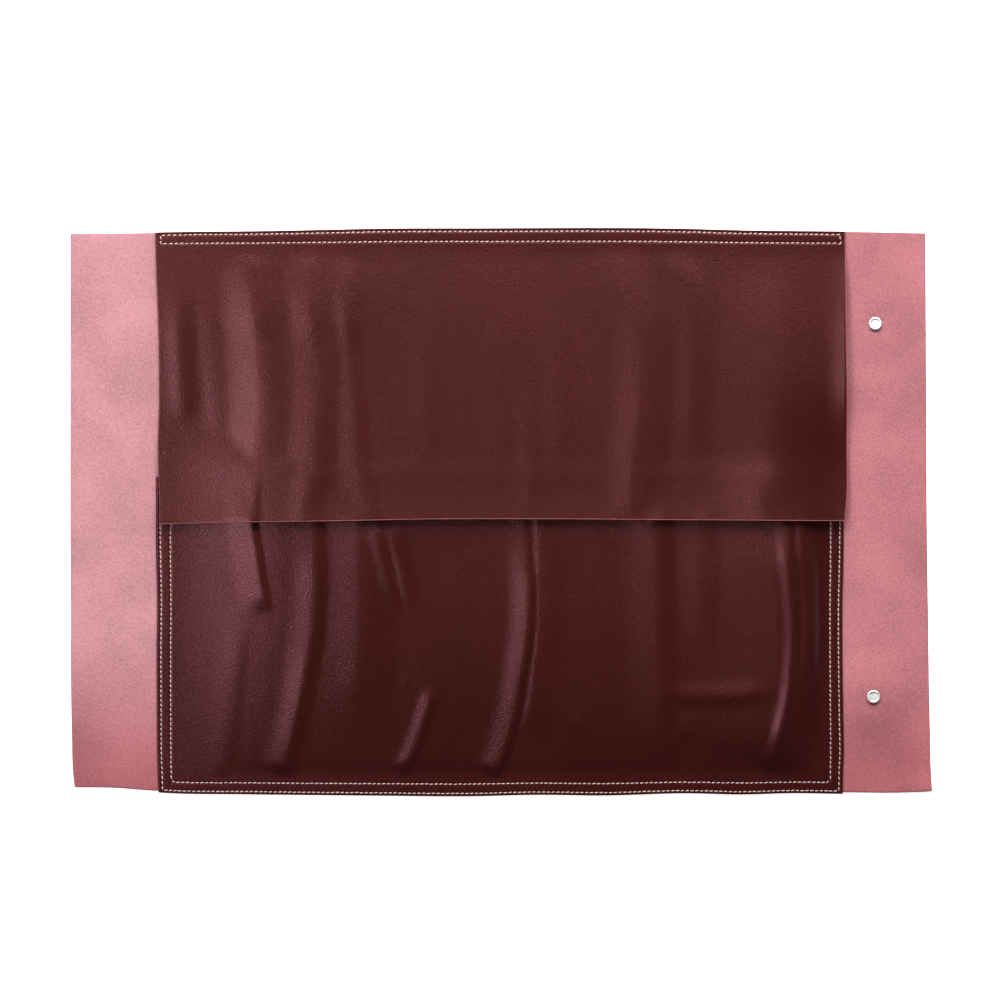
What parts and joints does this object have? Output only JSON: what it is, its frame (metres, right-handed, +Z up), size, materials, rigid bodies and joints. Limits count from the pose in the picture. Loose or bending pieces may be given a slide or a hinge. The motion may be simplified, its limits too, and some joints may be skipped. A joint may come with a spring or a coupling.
{
  "type": "chef knife roll",
  "caption": "Leather knife roll lying open: a wide back panel, a pocket stitched across its middle, a flap laid over the pocket's mouth, and press studs on an end strip.",
  "frame": {"origin": "middle of the roll in plan, on the surface it lies on", "axes": "+X along the roll towards the end strip with the press studs, +Y up the sheet towards the flap's seam, +Z up"},
  "size_m": [0.6894, 0.4546, 0.0148],
  "materials": {
    "suede_leather": "brushed flesh side, matt",
    "burgundy_leather": "smooth, satin",
    "snap_metal": "polished nickel"
  },
  "bodies": {
    "root": {"back_panel": "suede_leather", "pocket_panel": "burgundy_leather", "flap": "burgundy_leather", "snap_cap_upper": "snap_metal", "snap_cap_lower": "snap_metal", "snap_socket_upper": "snap_metal", "snap_socket_lower": "snap_metal", "snap_stud_upper": "snap_metal", "snap_stud_lower": "snap_metal"}
  },
  "joints": []
}
